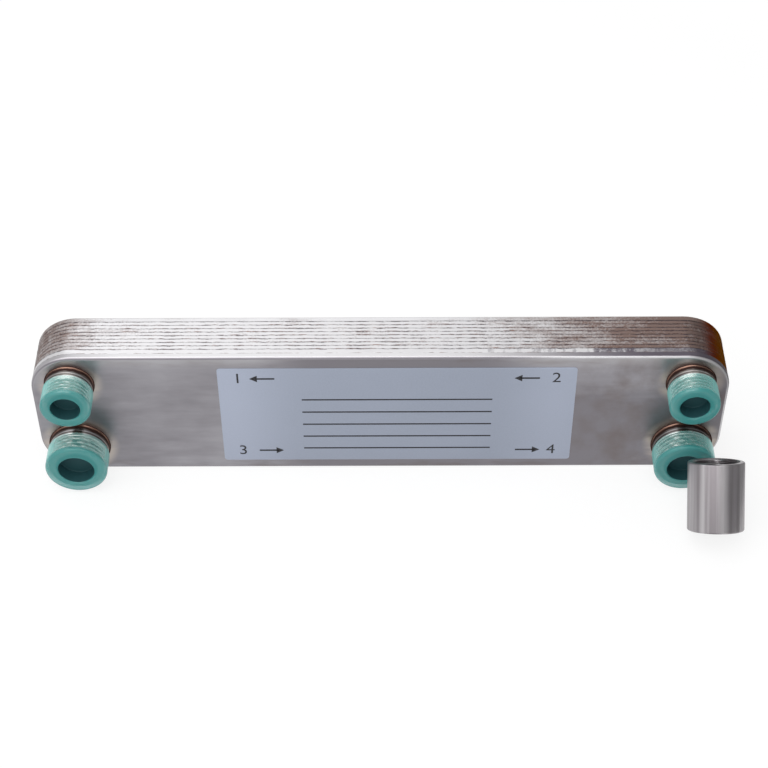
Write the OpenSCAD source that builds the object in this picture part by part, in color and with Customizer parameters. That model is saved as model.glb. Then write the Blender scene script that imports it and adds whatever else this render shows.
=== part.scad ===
// Brazed plate wort chiller with four capped ports and a loose pipe coupling.
// X runs along the length, +Y points to the back and +Z is up: the chiller stands on a long edge.
// Plates, covers and ports are drawn flat, with z = 0 on the front face and +z out of the ports.

/* [Covers] */
// Length of the front and back covers
cover_len = 313; // [300:1:340]
// Height of the front and back covers
cover_ht = 72; // [70:1:84]
// Corner radius of the covers
cover_r = 20; // [14:0.5:24]
// Thickness of the front cover's face
front_wall = 1.5; // [1.5:0.1:2]
// Depth of the front cover over its skirt
cover_skirt = 3.1; // [2.6:0.1:3.6]
// Rounding of the front cover's edge
front_round = 1.4; // [0.8:0.1:1.4]
// Thickness of the back cover
back_t = 2.8; // [1.5:0.1:4]
// Rounding of the back cover's rear edge
back_round = 0.8; // [0.4:0.1:1.2]

/* [Plate pack] */
// Distance from one channel plate to the next
plate_pitch = 2.2; // [2:0.05:2.6]
// Sheet thickness of a channel plate
sheet_t = 0.4; // [0.3:0.05:0.5]
// Thickness of the flat end plate
end_plate_t = 2.2; // [1.6:0.1:3]
// Distance between the pressed ribs, square to them
rib_pitch = 9; // [8:0.5:14]
// Width of a rib at its foot
rib_w = 5; // [4:0.25:6]
// Width of a rib at its crest
rib_crest = 2; // [1.6:0.1:2.6]
// Angle of the ribs to the plate's length
chevron_angle = 60; // [45:1:70]
// Radius of the port holes in the channel plates
plate_hole_r = 8.5; // [7:0.25:9]
// Width of the pressed seat round a port hole
seat_w = 2; // [1.5:0.25:2.5]
// Slope of the seat's pressed wall, as its run
seat_run = 1.6; // [1:0.1:2]

/* [Ports] */
// Distance of the port centres from the covers' ends
port_end = 17.5; // [16.5:0.1:22]
// Distance of the port centres from the covers' long edges
port_edge = 16; // [15.5:0.1:18]
// Length of a port outside the front cover
port_len = 14.4; // [13:0.1:20]
// Length of the plain neck below a port's thread
neck_len = 5; // [3:0.1:6]
// Lead-in chamfer at a port's mouth
port_chamfer = 1; // [0.5:0.1:1.5]
// Thread diameter of the wort ports, half-inch tapered pipe
wort_thread_d = 21.34; // [20:0.02:22]
// Bore of the wort ports
wort_bore_d = 15.2; // [14.6:0.1:16]
// Thread diameter of the water ports, three-quarter-inch garden hose
water_thread_d = 26.98; // [25:0.02:28]
// Bore of the water ports
water_bore_d = 18.4; // [18.2:0.1:20]
// Width of the braze fillet round a port's foot
braze_w = 0.5; // [0.4:0.05:1]

/* [Caps] */
// Thickness of a cap's side wall
cap_wall = 0.4; // [0.3:0.1:0.8]
// Thickness of a cap's end
cap_end_t = 1.5; // [1.2:0.1:2.5]
// Rounding of a cap's end
cap_round = 1.4; // [0.6:0.1:1.6]
// Depth of the hollow in a cap's end
hollow_depth = 7; // [5:0.1:9]
// Wall of the hollow plug that sits in the port's bore
plug_wall = 0.7; // [0.5:0.05:0.9]
// Gap left between a cap and its port
cap_gap = 0.25; // [0.2:0.05:0.4]
// Bare length between a cap's rim and the front cover
cap_standoff = 5.4; // [4.5:0.1:6]

/* [Label] */
// Width of the label
label_w = 160.4; // [120:0.2:180]
// Height of the label
label_ht = 60; // [40:0.2:62]
// Corner radius of the label
label_r = 3; // [1:0.5:6]
// Thickness of the label's film
label_t = 0.15; // [0.1:0.05:0.3]
// Middle of the label along the length
label_x = 7.6; // [-10:0.2:10]
// Middle of the label above the cover's middle
label_z = -0.4; // [-3:0.2:3]

/* [Pipe coupling] */
// Outside diameter of the coupling
coupling_d = 25.4; // [24:0.1:28]
// Length of the coupling
coupling_len = 31; // [28:0.5:34]
// Bore of the coupling at its thread crests
coupling_bore_d = 18.8; // [18:0.1:20]
// Chamfer at the mouths of the coupling's thread
coupling_mouth = 1.3; // [0.8:0.1:1.6]
// Broken edge round the coupling's ends
coupling_edge = 0.5; // [0.3:0.1:0.8]
// Lean of the coupling from upright, towards the chiller
coupling_lean = 40.5; // [36:0.5:44]
// Middle of the coupling past the middle of the lower right port
coupling_side = 11; // [8:0.5:16]
// Gap left between the coupling and the cap that it leans on
lean_gap = 0.3; // [0.2:0.05:0.5]

/* [Hidden] */
$fn = 64;
eps = 0.01;

// Channel plates in the pack, and the film of braze between two pieces
plates = 9;
braze_gap = 0.05;
seam_gap = 0.02;

// Depths below the front face, counted down as positive numbers
emboss = plate_pitch - braze_gap;
lip_len = plate_pitch + end_plate_t;
function base_depth(k) = front_wall + braze_gap + (k - 1) * plate_pitch;
function lip_depth(k) = base_depth(k) + lip_len;
end_depth = base_depth(plates + 1);
back_depth = end_depth + end_plate_t + braze_gap;
pack_depth = back_depth + back_t;

// The unit stands on the flat of the front cover's skirt, and its middle is the origin
standing_line = (front_round + cover_skirt) / 2;

// Skirts of the nested channel plates, as insets from the covers' outline
flare_angle = asin((sheet_t + braze_gap) / plate_pitch);
flare = tan(flare_angle);
skirt_sheet = sheet_t / cos(flare_angle);
lip_in = braze_gap;
base_in = lip_in + lip_len * flare;
end_in = lip_in + skirt_sheet + end_plate_t * flare + braze_gap;
function lip_face(k, depth) = lip_in + (lip_depth(k) - depth) * flare;

// Braze seams in the corners behind the lips' free edges
seam_run = 0.45;
seam_rise = 0.3;

// Pressed field of ribs between the port seats
port_x = cover_len / 2 - port_end;
port_y = cover_ht / 2 - port_edge;
seat_r = plate_hole_r + seat_w;
field_margin = 4;
field_x = port_x - seat_r - seat_run - field_margin;
field_y = cover_ht / 2 - base_in - skirt_sheet - field_margin;
rib_run = (rib_w - rib_crest) / 2;
rib_sheet = sheet_t * sqrt(1 + pow(rib_run / emboss, 2));
rib_reach = field_x + field_y;
ribs = ceil(rib_reach / rib_pitch);

// Ports: side along the length, side over the height, thread and bore
// radius, and the half-inch pipe thread tapers by 1 in 16 of its diameter
pipe_taper = 1 / 32;
WORT_OUT = [-1, 1, wort_thread_d / 2, wort_bore_d / 2, pipe_taper];
WORT_IN = [1, 1, wort_thread_d / 2, wort_bore_d / 2, pipe_taper];
WATER_IN = [-1, -1, water_thread_d / 2, water_bore_d / 2, 0];
WATER_OUT = [1, -1, water_thread_d / 2, water_bore_d / 2, 0];
PORTS = [WORT_OUT, WORT_IN, WATER_IN, WATER_OUT];
function thread_r(port) = port[2];
function bore_r(port) = port[3];
function cap_in_r(port) = thread_r(port) + cap_gap;
function cap_out_r(port) = cap_in_r(port) + cap_wall;
function plug_r(port) = bore_r(port) - cap_gap;
function hollow_r(port) = plug_r(port) - plug_wall;
cap_end = port_len + cap_gap + cap_end_t;

// The coupling stands on its lower back rim and leans on the lower right cap's end:
// its set-off from the front face is the largest that any point of its side or upper rim asks for
coupling_r = coupling_d / 2;
foot_ht = coupling_r * sin(coupling_lean);
lean_r = cap_out_r(WATER_OUT);
lean_step = 0.5;
function cap_face(r) =
    r > lean_r ? undef
    : cap_end - cap_round + sqrt(pow(cap_round, 2) - pow(max(0, r - lean_r + cap_round), 2));
function lean_need(along, turn) =
    let (back = coupling_r * cos(turn))
    let (side = coupling_side - coupling_r * sin(turn))
    let (up = foot_ht + along * cos(coupling_lean) - back * sin(coupling_lean) - port_edge)
    let (face = cap_face(norm([side, up])))
    is_undef(face) ? 0
    : face + lean_gap + along * sin(coupling_lean) + back * cos(coupling_lean);
coupling_out = max([
    for (along = [coupling_len - coupling_edge:-lean_step:0])
        for (turn = [-90:2:90])
            lean_need(along, turn)
]);

// Stands the flat drawing up on its long edge
module stand() {
    translate([0, -standing_line, cover_ht / 2])
        rotate([90, 0, 0])
            children();
}

// Moves a drawing to a port's centre
module at_port(port) {
    translate([port[0] * port_x, port[1] * port_y, 0])
        children();
}

// Flat plate between two depths, its edge set in from the covers' outline
module panel(inset, from, to) {
    r = cover_r - inset;
    translate([0, 0, -to])
        linear_extrude(to - from)
            rounded(cover_len - 2 * inset, cover_ht - 2 * inset, r);
}

module rounded(w, h, r) {
    square([w, h - 2 * r], center = true);
    square([w - 2 * r, h], center = true);
    for (x = [-1, 1], y = [-1, 1])
        translate([x * (w / 2 - r), y * (h / 2 - r)])
            circle(r);
}

// Sweeps a profile round the covers' outline: its x is the distance from the corner's centre
module rim() {
    run = [cover_len - 2 * cover_r, cover_ht - 2 * cover_r];
    for (side = [0:3]) {
        out = run[side % 2] / 2;
        along = run[(side + 1) % 2];
        rotate(90 * side)
            translate([out, along / 2, 0]) {
                rotate_extrude(angle = 90)
                    children();
                rotate([90, 0, 0])
                    linear_extrude(along)
                        children();
            }
    }
}

// Profile point from an inset and a depth
function at_rim(inset, depth) = [cover_r - inset, -depth];

// Quarter disc at the outer corner of a sheet's edge profile
module edge_round(round) {
    intersection() {
        translate([cover_r - round, -round])
            circle(round);
        translate([cover_r - round, -round])
            square(round);
    }
}

// Part of an edge profile between two insets and two depths
module edge_strip(outer, inner, from, to) {
    translate([cover_r - inner, -to])
        square([inner - outer, to - from]);
}

// Pressed lid with a rounded edge and a skirt that closes over the first channel plate
module front_cover_plate() {
    inward = 2 * front_round;
    color("silver") stand() difference() {
        union() {
            panel(inward - eps, 0, front_wall);
            rim() {
                edge_round(front_round);
                edge_strip(front_round, inward, 0, front_wall);
                polygon([
                    at_rim(0, front_round),
                    at_rim(0, cover_skirt),
                    at_rim(lip_face(1, cover_skirt) - braze_gap, cover_skirt),
                    at_rim(lip_face(1, front_wall) - braze_gap, front_wall),
                    at_rim(front_round + eps, front_wall),
                    at_rim(front_round + eps, front_round)
                ]);
            }
        }
        for (port = PORTS)
            at_port(port)
                translate([0, 0, -front_wall - 1])
                    cylinder(r = thread_r(port) + braze_gap, h = front_wall + 2);
    }
}

// One arm of the rib field above the plate's middle line, clipped to its window
module rib_arm(foot, crest, height, window) {
    intersection() {
        rotate(chevron_angle - 90)
            rotate([90, 0, 0])
                linear_extrude(4 * rib_reach, center = true)
                    for (n = [-ribs:ribs])
                        translate([n * rib_pitch, 0])
                            polygon([
                                [-foot / 2, 0],
                                [foot / 2, 0],
                                [crest / 2, -height],
                                [-crest / 2, -height]
                            ]);
        translate([-window[0], 0, -height])
            cube([2 * window[0], window[1], height]);
    }
}

module rib_field(foot, crest, height, window) {
    rib_arm(foot, crest, height, window);
    mirror([0, 1, 0])
        rib_arm(foot, crest, height, window);
}

// Pressed channel plate, front side up: a shallow tray with a flared skirt, ribs and raised port seats
module channel_plate_flat() {
    hollow = emboss - sheet_t;
    hollow_crest = rib_crest + 2 * rib_run * sheet_t / emboss - 2 * rib_sheet;
    seat_sheet = sheet_t * sqrt(1 + pow(seat_run / emboss, 2));
    difference() {
        union() {
            panel(base_in + skirt_sheet / 2, 0, sheet_t);
            rim() {
                polygon([
                    at_rim(base_in, 0),
                    at_rim(lip_in, lip_len),
                    at_rim(lip_in + skirt_sheet, lip_len),
                    at_rim(base_in + skirt_sheet, 0)
                ]);
            }
            rib_field(rib_w, rib_crest, emboss, [field_x, field_y]);
            for (port = [WORT_OUT, WORT_IN])
                at_port(port)
                    translate([0, 0, -emboss])
                        cylinder(r1 = seat_r, r2 = seat_r + seat_run, h = emboss);
        }
        translate([0, 0, eps])
            rib_field(
                rib_w - 2 * rib_sheet,
                hollow_crest,
                hollow + eps,
                [field_x - sheet_t, field_y - sheet_t]
            );
        for (port = [WORT_OUT, WORT_IN])
            at_port(port)
                translate([0, 0, -hollow])
                    cylinder(
                        r1 = seat_r + seat_run * sheet_t / emboss - seat_sheet,
                        r2 = seat_r + seat_run - seat_sheet,
                        h = hollow + eps
                    );
        for (port = PORTS)
            at_port(port)
                translate([0, 0, -emboss - 1])
                    cylinder(r = plate_hole_r, h = emboss + 2);
    }
}

// Every second plate is turned round, so that its ribs cross its neighbours' ribs
module channel_plate(k) {
    color("gainsboro") stand()
        translate([0, 0, -base_depth(k)])
            rotate(180 * (k % 2))
                channel_plate_flat();
}

module end_plate() {
    color("gainsboro") stand()
        panel(end_in, end_depth, end_depth + end_plate_t);
}

module back_cover_plate() {
    inward = 2 * back_round;
    color("silver") stand() {
        panel(inward - eps, back_depth, pack_depth);
        translate([0, 0, -pack_depth])
            mirror([0, 0, 1])
                rim() {
                    edge_round(back_round);
                    edge_strip(back_round, inward, 0, back_t);
                    edge_strip(0, back_round, back_round, back_t);
                }
    }
}

// Threaded pipe stub, brazed into its hole in the front cover
module port(port) {
    tip_r = thread_r(port) - (port_len - neck_len) * port[4];
    color("lightgray") stand() at_port(port) difference() {
        union() {
            translate([0, 0, -front_wall])
                cylinder(r = thread_r(port), h = front_wall + neck_len);
            translate([0, 0, neck_len])
                cylinder(r1 = thread_r(port), r2 = tip_r, h = port_len - neck_len - port_chamfer);
            translate([0, 0, port_len - port_chamfer])
                cylinder(r1 = tip_r, r2 = tip_r - port_chamfer, h = port_chamfer);
        }
        translate([0, 0, -front_wall - 1])
            cylinder(r = bore_r(port), h = front_wall + port_len + 2);
    }
}

// Copper fillet round a port's foot, with the run-out bead beside it
module braze_ring(port) {
    foot = thread_r(port) + seam_gap;
    bead = braze_w / 3;
    color("peru") stand() at_port(port)
        translate([0, 0, seam_gap])
            rotate_extrude() {
                translate([foot, 0])
                    difference() {
                        square(braze_w);
                        translate([braze_w, braze_w])
                            circle(braze_w - bead / 2);
                    }
                intersection() {
                    translate([foot + braze_w, 0])
                        circle(bead);
                    translate([foot, 0])
                        square([2 * braze_w, bead]);
                }
            }
}

// Push-on plastic cap: a sleeve over the thread and a hollow plug in the bore
module cap(port) {
    r = cap_out_r(port);
    len = cap_end - cap_standoff;
    color("mediumturquoise", 0.7) stand() at_port(port) difference() {
        union() {
            difference() {
                translate([0, 0, cap_standoff])
                    rotate_extrude() {
                        square([r, len - cap_round]);
                        square([r - cap_round, len]);
                        translate([r - cap_round, len - cap_round])
                            circle(cap_round);
                    }
                translate([0, 0, cap_standoff - 1])
                    cylinder(r = cap_in_r(port), h = len - cap_end_t + 1);
            }
            translate([0, 0, cap_end - hollow_depth - cap_end_t])
                cylinder(r = plug_r(port), h = hollow_depth + eps);
        }
        translate([0, 0, cap_end - hollow_depth])
            cylinder(r = hollow_r(port), h = hollow_depth + 1);
    }
}

// Copper seam on lip k, in the corner behind the free edge of the sheet in front of it
module braze_seam(k) {
    edge = k == 1 ? cover_skirt : lip_depth(k - 1);
    foot = lip_face(k, edge) - seam_gap;
    color("peru") stand() rim()
        polygon([
            at_rim(foot - seam_rise, edge + seam_gap),
            at_rim(foot, edge + seam_gap),
            at_rim(foot - seam_run * flare, edge + seam_run)
        ]);
}

module label() {
    color("lightsteelblue") stand()
        translate([label_x, label_z, 0])
            linear_extrude(label_t)
                rounded(label_w, label_ht, label_r);
}

// Plain pipe coupling, standing on its lower back rim against the lower right cap
module pipe_coupling() {
    bore_r = coupling_bore_d / 2;
    color("darkgray")
        translate([port_x + coupling_side, -standing_line - coupling_out, foot_ht])
            rotate([-coupling_lean, 0, 0])
                rotate_extrude()
                    polygon([
                        [bore_r, coupling_mouth],
                        [bore_r + coupling_mouth, 0],
                        [coupling_r - coupling_edge, 0],
                        [coupling_r, coupling_edge],
                        [coupling_r, coupling_len - coupling_edge],
                        [coupling_r - coupling_edge, coupling_len],
                        [bore_r + coupling_mouth, coupling_len],
                        [bore_r, coupling_len - coupling_mouth]
                    ]);
}

front_cover_plate();
for (k = [1:plates]) channel_plate(k);
end_plate();
back_cover_plate();
port(WORT_OUT);  // wort_out_port
port(WORT_IN);  // wort_in_port
port(WATER_IN);  // water_in_port
port(WATER_OUT);  // water_out_port
braze_ring(WORT_OUT);  // wort_out_braze_ring
braze_ring(WORT_IN);  // wort_in_braze_ring
braze_ring(WATER_IN);  // water_in_braze_ring
braze_ring(WATER_OUT);  // water_out_braze_ring
cap(WORT_OUT);  // wort_out_cap
cap(WORT_IN);  // wort_in_cap
cap(WATER_IN);  // water_in_cap
cap(WATER_OUT);  // water_out_cap
for (k = [1:plates]) braze_seam(k);
label();
pipe_coupling();
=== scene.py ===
"""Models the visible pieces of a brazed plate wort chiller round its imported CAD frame."""

import functools
import math

import bmesh
import bpy
from mathutils import Matrix, Vector, noise


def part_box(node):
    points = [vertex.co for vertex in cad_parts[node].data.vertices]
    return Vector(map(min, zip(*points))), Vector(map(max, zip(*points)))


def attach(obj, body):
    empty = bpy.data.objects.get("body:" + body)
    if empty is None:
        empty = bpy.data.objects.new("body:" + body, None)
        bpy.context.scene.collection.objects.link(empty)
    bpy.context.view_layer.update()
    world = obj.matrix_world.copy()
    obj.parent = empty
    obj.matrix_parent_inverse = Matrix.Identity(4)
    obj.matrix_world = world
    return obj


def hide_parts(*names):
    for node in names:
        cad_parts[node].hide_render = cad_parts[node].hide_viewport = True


bl_info = {
    "name": "Brazed Plate Wort Chiller",
    "version": (1, 0, 0),
    "blender": (4, 5, 0),
    "location": "View3D > Sidebar > Chiller",
    "description": "Models the covers, seams, ports, caps, label and coupling of a plate chiller",
    "category": "Object",
}

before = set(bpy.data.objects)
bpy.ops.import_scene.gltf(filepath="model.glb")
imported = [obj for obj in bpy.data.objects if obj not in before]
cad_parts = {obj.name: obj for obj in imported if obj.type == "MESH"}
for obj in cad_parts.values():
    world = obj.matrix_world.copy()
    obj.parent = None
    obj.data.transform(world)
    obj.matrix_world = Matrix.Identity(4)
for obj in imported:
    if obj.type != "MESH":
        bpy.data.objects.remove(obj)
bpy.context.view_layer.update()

MM = 0.001
PORT_NAMES = ("wort_out", "wort_in", "water_in", "water_out")
PLATES = 9
BODY = "chiller"

COVER_LOW, COVER_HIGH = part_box("front_cover_plate")
BACK_LOW, BACK_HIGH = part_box("back_cover_plate")
LABEL_LOW, LABEL_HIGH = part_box("label")
FRONT_Y = COVER_LOW.y
FIRST_EDGE_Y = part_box("channel_plate_1")[1].y
MID_Z = (COVER_LOW.z + COVER_HIGH.z) / 2
LABEL_MID_X = (LABEL_LOW.x + LABEL_HIGH.x) / 2

# Flat drawing as in the CAD source: x along, y up the face, z out of the ports, stood on its edge
STAND = Matrix.Translation((0, FRONT_Y, MID_Z)) @ Matrix.Rotation(math.pi / 2, 4, "X")

# Steps of the spins, and rows of points along the threads
THREAD_STEPS, RING_STEPS, CAP_STEPS = 144, 180, 128
PORT_ROWS, COUPLING_ROWS = 70, 120

# Radius that a tapered pipe thread loses per length
PIPE_TAPER = 1 / 32

# How near a point lies to a place that it is picked by
NEAR = 0.01 * MM

# Font size over the height of its digits
FONT_PER_DIGIT = 1.4

# Camera fitted to the photograph: lengths in pixels, angles in degrees and place in metres
PHOTO_PX, FOCAL_PX = 768, 1829.7
YAW, PITCH, ROLL = -0.242, 45.446, -0.356
CAMERA_PLACE = (0.00419, -0.57633, 0.63858)
SENSOR_MM = 36

WHITE = (1, 1, 1, 1)


def linear(hex_code):
    """Linear RGBA of an sRGB hex colour."""
    parts = [int(hex_code[i : i + 2], 16) / 255 for i in (0, 2, 4)]
    return [p / 12.92 if p <= 0.04045 else ((p + 0.055) / 1.055) ** 2.4 for p in parts] + [1.0]


def length(name, description, default):
    """A length property in metres."""
    return bpy.props.FloatProperty(
        name=name, description=description, default=default, min=0, precision=5,
        subtype="DISTANCE", unit="LENGTH",
    )


def colour(name, description, hex_code):
    """A colour property from an sRGB hex code."""
    return bpy.props.FloatVectorProperty(
        name=name, description=description, default=linear(hex_code), min=0, max=1,
        size=4, subtype="COLOR",
    )


class ChillerSizes(bpy.types.PropertyGroup):
    """Sizes of the modelled pieces; the rest comes from the CAD frame."""

    cover_r: length("Cover corner", "Corner radius of the covers", 20 * MM)
    plate_pitch: length("Plate pitch", "Distance from one lip to the next", 2.2 * MM)
    lip_in: length("Lip inset", "Inset of the lips' free edges from the covers", 0.05 * MM)
    seam_bead: length("Seam bead", "Radius of the braze bead behind a lip", 0.26 * MM)
    seam_stray: length("Seam unevenness", "How far the braze bead strays", 0.2 * MM)
    neck_len: length("Port neck", "Plain neck below a port's thread", 5 * MM)
    port_chamfer: length("Port chamfer", "Lead-in chamfer at a port's mouth", 1 * MM)
    wort_pitch: length("Wort thread pitch", "Half-inch pipe thread", 25.4 / 14 * MM)
    water_pitch: length("Water thread pitch", "Garden hose thread", 25.4 / 11.5 * MM)
    thread_depth: length("Thread depth", "Crest to root of the port threads", 1.2 * MM)
    wort_bore_r: length("Wort bore", "Bore radius of the wort ports", 7.6 * MM)
    water_bore_r: length("Water bore", "Bore radius of the water ports", 9.2 * MM)
    cap_end_t: length("Cap end", "Thickness of a cap's end", 1.5 * MM)
    cap_round: length("Cap rounding", "Rounding of a cap's end", 1.4 * MM)
    cap_gap: length("Cap gap", "Gap between a cap and its port", 0.25 * MM)
    plug_wall: length("Plug wall", "Wall of a cap's hollow plug", 0.7 * MM)
    hollow_depth: length("Hollow depth", "Depth of the hollow in a cap", 7 * MM)
    label_r: length("Label corner", "Corner radius of the label", 1.5 * MM)
    ink_t: length("Ink thickness", "Height of the print on the label", 0.02 * MM)
    coupling_r: length("Coupling radius", "Outside radius of the coupling", 12.7 * MM)
    coupling_len: length("Coupling length", "Length of the coupling", 31 * MM)
    coupling_bore_r: length("Coupling bore", "Bore radius at the thread crests", 9.4 * MM)
    coupling_mouth: length("Coupling mouth", "Chamfer at the thread's mouths", 1.3 * MM)
    coupling_edge: length("Coupling edge", "Broken edge round the ends", 0.5 * MM)
    coupling_lean: bpy.props.FloatProperty(
        name="Coupling lean", description="Lean of the coupling from upright",
        default=math.radians(40.5), subtype="ANGLE", unit="ROTATION",
    )


class ChillerColours(bpy.types.PropertyGroup):
    """Colours of the finishes."""

    cover: colour("Cover steel", "Satin cold-rolled stainless steel", "9C9A9F")
    cover_dull: colour("Dull patches", "Faint mottling of the cover", "7F7C81")
    smudge: colour("Smudges", "Brown handling marks and dried spots on the cover", "6B5F5A")
    plate: colour("Plate steel", "Bright pressed plate edges", "CAC9CB")
    stain: colour("Copper film", "Brown film that brazing leaves on the plates", "796761")
    smoke: colour("Smoked film", "Purple-grey film on the skirt and the first lip", "605A63")
    scorch: colour("Scorched film", "Deep maroon film at the hot end", "6C2712")
    # Amber film at the outer edge, partly a painted highlight on that edge
    amber: colour("Amber film", "Amber film at the hottest edge", "7E5420")
    film_rim: colour("Film at the rim", "Golden light off the hot end at a grazing angle", "C89C5C")
    # Grey braze run-outs, and the painted shade of the crevices between the lips
    run_out_and_crevice_shade: colour("Braze run-outs", "Grey braze that ran out along the lips", "423B40")
    braze: colour("Braze copper", "Bare copper of a braze seam", "86695C")
    oxide: colour("Braze oxide", "Dark skin on the braze", "43302D")
    # Pale straw halo round the ports: a heat tint's colour, and a painted reflection of the braze rings and
    # necks in the cover
    heat: colour("Heat tint", "Pale straw tint of the cover round the ports", "D2C6B8")
    port: colour("Port steel", "Turned stainless steel", "E4E2E0")
    port_dull: colour("Port patina", "Duller patches of the ports", "C2BFBB")
    # Duller skin in the thread roots, and painted shade in the grooves
    root_skin_and_shade: colour("Thread roots", "Duller skin left in the roots of the threads", "B4B0AC")
    # Darker grey bands round the port necks
    neck: colour("Port necks", "Grey rings that the brazing heat leaves on the necks", "7A7571")
    # Dull furnace skin, painted nearly black as the shade inside the bores
    bore: colour("Port bore", "Dull furnace skin inside the ports", "2B2927")
    cap: colour("Cap teal", "Thin translucent sleeve of the caps", "82E0DA")
    cap_haze: colour("Cap haze", "Cloudier patches of the sleeve", "74D4CE")
    cap_end: colour("Cap end", "Thicker, deeper teal end of the caps", "3DA09E")
    # Painted shade of the cap's hollow over the dark bore
    plug: colour("Cap plug", "Hollow plug, over the dark bore", "194A4F")
    label: colour("Label film", "Satin silver film", "B1B9CC")
    label_worn: colour("Label wear", "Duller middle and grain of the film", "9BA3B4")
    ink: colour("Label ink", "Print on the label", "100E16")
    coupling: colour("Coupling steel", "Turned 304 steel between its streaks", "837E81")
    # Bright lengthwise streaks, partly painted reflections
    coupling_streak_and_reflection: colour("Coupling streaks", "Bright lengthwise streaks", "C0BDBF")
    floor: colour("Floor", "Pale studio floor", "F4F4F4")


def sizes():
    return bpy.context.scene.chiller_sizes


def colours():
    return bpy.context.scene.chiller_colours


def add_node(tree, kind, inputs=(), **settings):
    """Adds one shader node; inputs gives its sockets values, or the nodes or sockets that feed them."""
    node = tree.nodes.new("ShaderNode" + kind)
    for key, value in settings.items():
        setattr(node, key, value)
    for key, value in dict(inputs).items():
        if isinstance(value, bpy.types.Node):
            value = next(socket for socket in value.outputs if socket.enabled)
        if isinstance(value, bpy.types.NodeSocket):
            tree.links.new(value, node.inputs[key])
        else:
            node.inputs[key].default_value = value
    return node


def empty_tree(owner):
    """Clears the nodes of a material or a world, and returns add_node for its tree."""
    owner.use_nodes = True
    owner.node_tree.nodes.clear()
    return functools.partial(add_node, owner.node_tree)


def new_material(name):
    """An empty material, add_node for its tree, and the Object coordinates."""
    material = bpy.data.materials.new(name)
    node = empty_tree(material)
    return material, node, node("TexCoord").outputs["Object"]


def close_material(node, inputs):
    """Ends a tree in a Principled shader."""
    node("OutputMaterial", {"Surface": node("BsdfPrincipled", inputs)})


def close_metal(node, base, marks, rough, strength, depth, inputs=()):
    """Ends a tree in bare metal whose roughness and relief follow the same marks."""
    spread = node("MapRange", {"Value": marks, "To Min": rough[0], "To Max": rough[1]})
    relief = node("Bump", {"Height": marks, "Strength": strength, "Distance": depth})
    close_material(node, {
        "Base Color": base, "Metallic": 1.0, "Roughness": spread, "Normal": relief, **dict(inputs),
    })


# Colour mode of the Mix node, with its inputs in that mode, and soft mode of the Map Range node
RGBA = {"data_type": "RGBA"}
MIX_FACTOR, MIX_A, MIX_B = 0, 6, 7
SMOOTH = {"interpolation_type": "SMOOTHSTEP"}


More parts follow.
